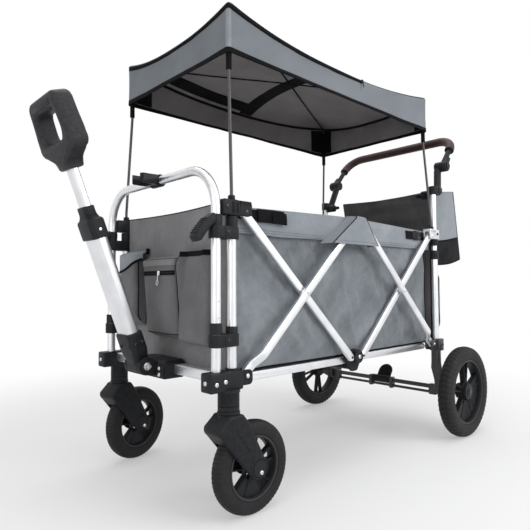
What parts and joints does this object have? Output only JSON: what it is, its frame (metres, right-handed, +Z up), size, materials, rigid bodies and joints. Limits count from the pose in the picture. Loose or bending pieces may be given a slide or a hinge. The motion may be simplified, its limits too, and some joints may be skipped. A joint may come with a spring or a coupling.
{
  "type": "folding wagon",
  "caption": "Folding hand-pulled wagon with fabric tub, canopy on poles, telescopic drawbar, push handle, swivel casters and foot brake",
  "frame": {"origin": "on the ground, in the middle of the wagon's length and width", "axes": "-X the way the wagon is pulled, +Y its right side, +Z up"},
  "size_m": [1.3691, 0.638, 1.069],
  "materials": {
    "aluminium": "satin",
    "black_plastic": "satin, lightly textured",
    "black_steel": "satin powder coat",
    "tyre": "matt foam rubber",
    "grey_fabric": "plain polyester weave",
    "leatherette": "matt brown imitation leather",
    "floor_board": "matt board"
  },
  "bodies": {
    "front_frame": {"front_cross_tube": "aluminium", "drawbar_base": "black_plastic", "front_bracket_left": "black_plastic", "front_bracket_right": "black_plastic", "front_post_left": "aluminium", "front_post_right": "aluminium"},
    "front_carriage": {"hoop_tube": "aluminium", "hoop_clip": "black_plastic", "front_wall": "grey_fabric", "front_top_bracket_left": "black_plastic", "front_top_bracket_right": "black_plastic", "canopy_pole_front_left": "black_steel", "canopy_pole_front_right": "black_steel", "side_wall_left": "grey_fabric", "side_wall_right": "grey_fabric", "canopy_cover": "grey_fabric"},
    "front_outer_arms": {"front_outer_arm_left": "aluminium", "front_outer_arm_right": "aluminium"},
    "front_inner_arms": {"front_inner_arm_left": "aluminium", "front_inner_arm_right": "aluminium"},
    "rear_outer_arms": {"rear_outer_arm_left": "aluminium", "rear_outer_arm_right": "aluminium"},
    "rear_inner_arms": {"rear_inner_arm_left": "aluminium", "rear_inner_arm_right": "aluminium"},
    "centre_bottom": {"centre_beam": "black_plastic"},
    "centre_top": {"top_link_left": "black_plastic", "top_link_right": "black_plastic"},
    "floor_front": {"front_floor_panel": "floor_board"},
    "floor_rear": {"rear_floor_panel": "floor_board"},
    "rear_frame": {"rear_axle_frame": "black_steel", "rear_post_left": "aluminium", "rear_post_right": "aluminium"},
    "rear_carriage": {"rear_upper_tube_left": "aluminium", "rear_upper_tube_right": "aluminium", "canopy_pole_rear_left": "black_steel", "canopy_pole_rear_right": "black_steel", "handle_arm_left": "black_plastic", "handle_arm_right": "black_plastic", "rear_wall": "grey_fabric", "rear_bag": "grey_fabric"},
    "push_handle": {"push_bar": "black_plastic", "handle_grip": "leatherette"},
    "button_left": {"pivot_button_left": "black_plastic"},
    "button_right": {"pivot_button_right": "black_plastic"},
    "brake": {"brake_pedal": "black_plastic"},
    "caster_left": {"caster_fork_left": "black_plastic"},
    "caster_right": {"caster_fork_right": "black_plastic"},
    "front_wheel_left": {"front_rim_left": "black_plastic", "front_tyre_left": "tyre"},
    "front_wheel_right": {"front_rim_right": "black_plastic", "front_tyre_right": "tyre"},
    "rear_wheel_left": {"rear_rim_left": "black_plastic", "rear_tyre_left": "tyre"},
    "rear_wheel_right": {"rear_rim_right": "black_plastic", "rear_tyre_right": "tyre"},
    "drawbar": {"drawbar_yoke": "black_plastic", "drawbar_outer_tube": "aluminium", "drawbar_collar": "black_plastic"},
    "drawbar_slide": {"drawbar_inner_tube": "aluminium", "drawbar_grip": "black_plastic"}
  },
  "joints": [
    {"name": "frame_fold", "type": "hinge", "parent": "centre_top", "child": "front_outer_arms", "pos_m": [0.01859, 0, 0.621], "axis": [0, -1, 0], "range_deg": [0, 30], "deforming": ["side_wall_left", "side_wall_right", "canopy_cover"]},
    {"name": "front_crossing", "type": "hinge", "parent": "front_outer_arms", "child": "front_inner_arms", "pos_m": [-0.16266, 0, 0.4515], "axis": [0, -1, 0], "range_deg": [-60.5, 0]},
    {"name": "front_frame_pivot", "type": "hinge", "parent": "front_outer_arms", "child": "front_frame", "pos_m": [-0.34391, 0, 0.282], "axis": [0, -1, 0], "range_deg": [-30.5, 0]},
    {"name": "front_carriage_pivot", "type": "hinge", "parent": "front_inner_arms", "child": "front_carriage", "pos_m": [-0.34391, 0, 0.621], "axis": [0, -1, 0], "range_deg": [0, 30.5]},
    {"name": "centre_hub_pivot", "type": "hinge", "parent": "front_inner_arms", "child": "centre_bottom", "pos_m": [0.01859, 0, 0.282], "axis": [0, -1, 0], "range_deg": [0, 30.5]},
    {"name": "rear_link_pivot", "type": "hinge", "parent": "centre_top", "child": "rear_outer_arms", "pos_m": [0.06859, 0, 0.621], "axis": [0, -1, 0], "range_deg": [-30.5, 0]},
    {"name": "rear_crossing", "type": "hinge", "parent": "rear_outer_arms", "child": "rear_inner_arms", "pos_m": [0.24984, 0, 0.4515], "axis": [0, -1, 0], "range_deg": [0, 60.5]},
    {"name": "rear_frame_pivot", "type": "hinge", "parent": "rear_outer_arms", "child": "rear_frame", "pos_m": [0.43109, 0, 0.282], "axis": [0, -1, 0], "range_deg": [0, 30.5]},
    {"name": "rear_carriage_pivot", "type": "hinge", "parent": "rear_inner_arms", "child": "rear_carriage", "pos_m": [0.43109, 0, 0.621], "axis": [0, -1, 0], "range_deg": [-30.5, 0]},
    {"name": "front_floor_pivot", "type": "hinge", "parent": "front_frame", "child": "floor_front", "pos_m": [-0.34391, 0, 0.273], "axis": [0, -1, 0], "range_deg": [0, 64.57]},
    {"name": "rear_floor_pivot", "type": "hinge", "parent": "rear_frame", "child": "floor_rear", "pos_m": [0.43109, 0, 0.273], "axis": [0, -1, 0], "range_deg": [-64.57, 0]},
    {"name": "caster_left_swivel", "type": "hinge", "parent": "front_frame", "child": "caster_left", "pos_m": [-0.38991, -0.23, 0.22], "axis": [0, 0, 1], "continuous": true},
    {"name": "front_wheel_left_spin", "type": "hinge", "parent": "caster_left", "child": "front_wheel_left", "pos_m": [-0.33191, -0.23, 0.095], "axis": [0, 1, 0], "continuous": true},
    {"name": "rear_wheel_left_spin", "type": "hinge", "parent": "rear_frame", "child": "rear_wheel_left", "pos_m": [0.49309, -0.297, 0.137], "axis": [0, 1, 0], "continuous": true},
    {"name": "caster_right_swivel", "type": "hinge", "parent": "front_frame", "child": "caster_right", "pos_m": [-0.38991, 0.23, 0.22], "axis": [0, 0, 1], "continuous": true},
    {"name": "front_wheel_right_spin", "type": "hinge", "parent": "caster_right", "child": "front_wheel_right", "pos_m": [-0.33339, 0.24305, 0.095], "axis": [-0.225, 0.9744, 0], "continuous": true},
    {"name": "rear_wheel_right_spin", "type": "hinge", "parent": "rear_frame", "child": "rear_wheel_right", "pos_m": [0.49309, 0.297, 0.137], "axis": [0, 1, 0], "continuous": true},
    {"name": "brake_pedal_tip", "type": "hinge", "parent": "rear_frame", "child": "brake", "pos_m": [0.49309, 0, 0.137], "axis": [0, 1, 0], "range_deg": [0, 25]},
    {"name": "drawbar_tilt", "type": "hinge", "parent": "front_frame", "child": "drawbar", "pos_m": [-0.45951, 0, 0.2916], "axis": [0, -1, 0], "range_deg": [-20.5, 65]},
    {"name": "drawbar_extend", "type": "slide", "parent": "drawbar", "child": "drawbar_slide", "axis": [-0.3502, 0, 0.9367], "range_m": [0, 0.25]},
    {"name": "push_handle_tilt", "type": "hinge", "parent": "rear_carriage", "child": "push_handle", "pos_m": [0.52659, 0, 0.857], "axis": [0, -1, 0], "range_deg": [-55, 40]},
    {"name": "pivot_button_left_press", "type": "slide", "parent": "push_handle", "child": "button_left", "axis": [0, 1, 0], "range_m": [0, 0.003], "stiffness_N_per_m": 800, "springref_m": -0.002},
    {"name": "pivot_button_right_press", "type": "slide", "parent": "push_handle", "child": "button_right", "axis": [0, -1, 0], "range_m": [0, 0.003], "stiffness_N_per_m": 800, "springref_m": -0.002}
  ],
  "couplings": [
    {"joint": "front_crossing", "follows": "frame_fold", "ratio": -2},
    {"joint": "front_frame_pivot", "follows": "frame_fold", "ratio": -1},
    {"joint": "front_carriage_pivot", "follows": "frame_fold", "ratio": 1},
    {"joint": "centre_hub_pivot", "follows": "frame_fold", "ratio": 1},
    {"joint": "rear_link_pivot", "follows": "frame_fold", "ratio": -1},
    {"joint": "rear_crossing", "follows": "frame_fold", "ratio": 2},
    {"joint": "rear_frame_pivot", "follows": "frame_fold", "ratio": 1},
    {"joint": "rear_carriage_pivot", "follows": "frame_fold", "ratio": -1},
    {"joint": "front_floor_pivot", "follows": "frame_fold", "ratio": 2.1357},
    {"joint": "rear_floor_pivot", "follows": "frame_fold", "ratio": -2.1357}
  ]
}
